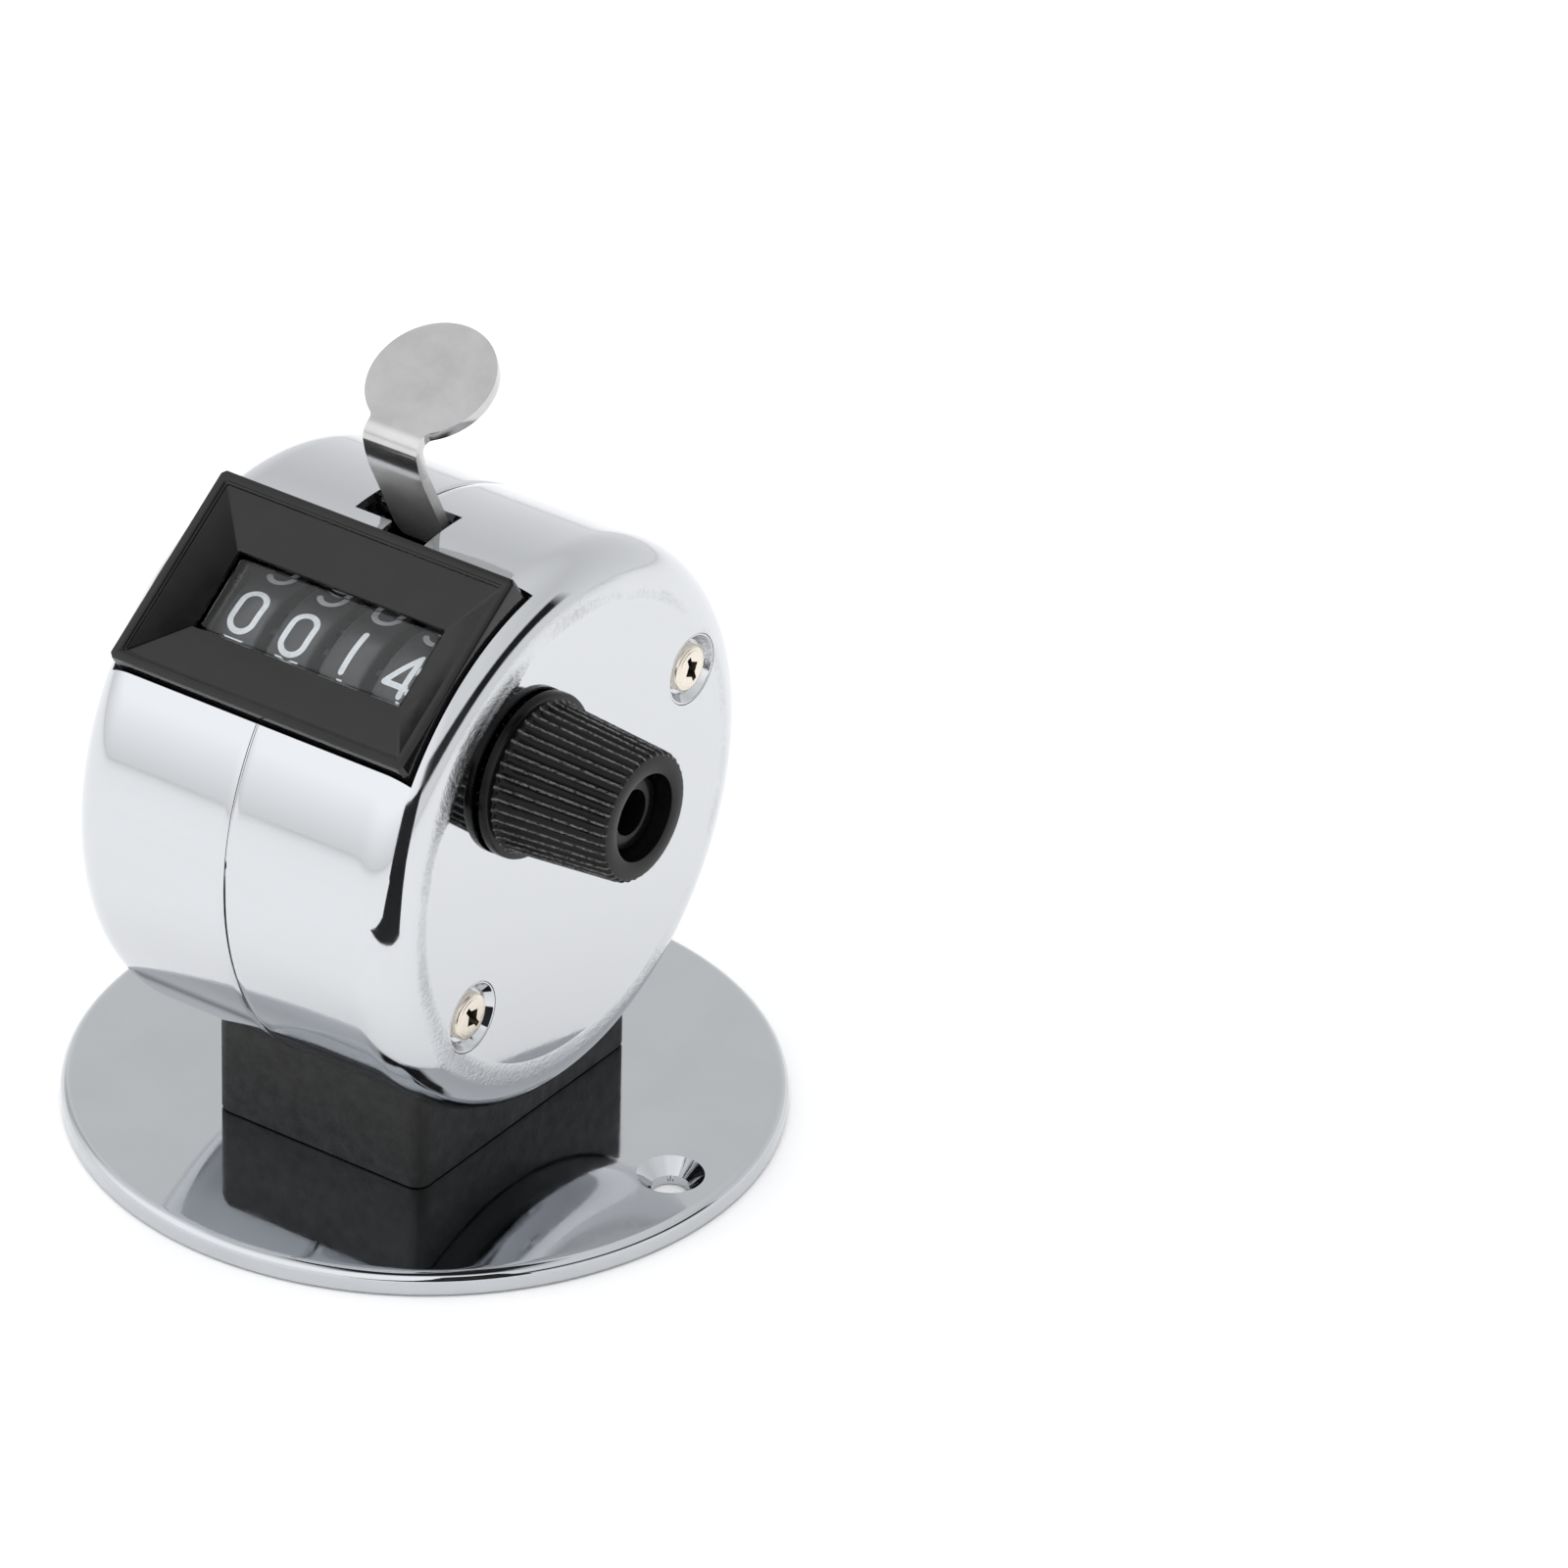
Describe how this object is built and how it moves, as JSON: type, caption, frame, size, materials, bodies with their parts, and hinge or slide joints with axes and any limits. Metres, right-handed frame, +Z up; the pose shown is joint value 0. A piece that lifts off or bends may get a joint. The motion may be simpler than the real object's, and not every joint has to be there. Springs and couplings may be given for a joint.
{
  "type": "hand tally counter",
  "caption": "Desk-mounted tally counter: chrome drum case on a round plate, window with number wheels, thumb lever on top and a fluted reset knob.",
  "frame": {"origin": "centre of the base plate's underside", "axes": "+Z up; +X along the wheel axle towards the reset knob; -Y is the front, where the window is"},
  "size_m": [0.06, 0.06, 0.07],
  "materials": {
    "chrome_plate": "mirror-polished chrome plate",
    "satin_chrome": "satin nickel-chrome pressed sheet",
    "nickel": "warm nickel-plated screw",
    "steel": "bright turned steel",
    "brass": "machined brass",
    "black_plastic": "black moulded plastic, satin gloss",
    "grained_plastic": "black fine-grained matte moulding",
    "wheel_plastic": "black moulded wheel with white figures",
    "clear_plastic": "clear window"
  },
  "bodies": {
    "case": {"base_plate": "chrome_plate", "pedestal_block": "grained_plastic", "pedestal_screw_left": "steel", "pedestal_screw_right": "steel", "left_shell": "chrome_plate", "right_shell": "chrome_plate", "case_screw_upper": "nickel", "case_screw_lower": "nickel", "window_bezel": "black_plastic", "window_lens": "clear_plastic", "axle_bush": "brass", "frame_plate_left": "steel", "frame_plate_right": "steel", "frame_spacer_front": "steel", "spring_shelf": "steel", "frame_screw_upper": "steel", "frame_screw_lower": "steel", "pinion_shaft": "steel", "lever_pivot_pin": "steel", "detent_spring": "steel", "lever_return_spring": "steel"},
    "lever": {"thumb_lever": "satin_chrome"},
    "pawl": {"drive_pawl": "steel"},
    "reset_axle": {"reset_knob": "black_plastic", "wheel_axle": "steel", "axle_clip": "steel"},
    "wheel_thousands": {"digit_wheel_thousands": "wheel_plastic"},
    "wheel_hundreds": {"digit_wheel_hundreds": "wheel_plastic"},
    "wheel_tens": {"digit_wheel_tens": "wheel_plastic"},
    "wheel_units": {"digit_wheel_units": "wheel_plastic", "ratchet_wheel": "steel"},
    "pinion_1": {"transfer_pinion_1": "brass"},
    "pinion_2": {"transfer_pinion_2": "brass"},
    "pinion_3": {"transfer_pinion_3": "brass"}
  },
  "joints": [
    {"name": "lever_press", "type": "hinge", "parent": "case", "child": "lever", "pos_m": [0, 0.0087, 0.0488], "axis": [1, 0, 0], "range_deg": [0, 8.5], "stiffness_Nm_per_rad": 0.1, "springref_deg": -17.19, "deforming": ["lever_return_spring"]},
    {"name": "pawl_pivot", "type": "hinge", "parent": "lever", "child": "pawl", "pos_m": [0.0108, -0.0055, 0.0486], "axis": [1, 0, 0], "range_deg": [0, 10], "stiffness_Nm_per_rad": 0.002, "springref_deg": -11.46},
    {"name": "reset_turn", "type": "hinge", "parent": "case", "child": "reset_axle", "pos_m": [0, -0.00885, 0.0414], "axis": [1, 0, 0], "continuous": true},
    {"name": "thousands_turn", "type": "hinge", "parent": "case", "child": "wheel_thousands", "pos_m": [-0.00788, -0.00885, 0.0414], "axis": [1, 0, 0], "continuous": true},
    {"name": "hundreds_turn", "type": "hinge", "parent": "case", "child": "wheel_hundreds", "pos_m": [-0.00263, -0.00885, 0.0414], "axis": [1, 0, 0], "continuous": true},
    {"name": "tens_turn", "type": "hinge", "parent": "case", "child": "wheel_tens", "pos_m": [0.00263, -0.00885, 0.0414], "axis": [1, 0, 0], "continuous": true},
    {"name": "units_turn", "type": "hinge", "parent": "case", "child": "wheel_units", "pos_m": [0.00788, -0.00885, 0.0414], "axis": [1, 0, 0], "continuous": true},
    {"name": "pinion_1_turn", "type": "hinge", "parent": "case", "child": "pinion_1", "pos_m": [-0.00525, -0.00229, 0.03359], "axis": [1, 0, 0], "continuous": true},
    {"name": "pinion_2_turn", "type": "hinge", "parent": "case", "child": "pinion_2", "pos_m": [0, -0.00229, 0.03359], "axis": [1, 0, 0], "continuous": true},
    {"name": "pinion_3_turn", "type": "hinge", "parent": "case", "child": "pinion_3", "pos_m": [0.00525, -0.00229, 0.03359], "axis": [1, 0, 0], "continuous": true}
  ],
  "couplings": [
    {"joint": "pinion_1_turn", "follows": "thousands_turn", "ratio": -2.5},
    {"joint": "pinion_2_turn", "follows": "hundreds_turn", "ratio": -2.5},
    {"joint": "pinion_3_turn", "follows": "tens_turn", "ratio": -2.5}
  ]
}
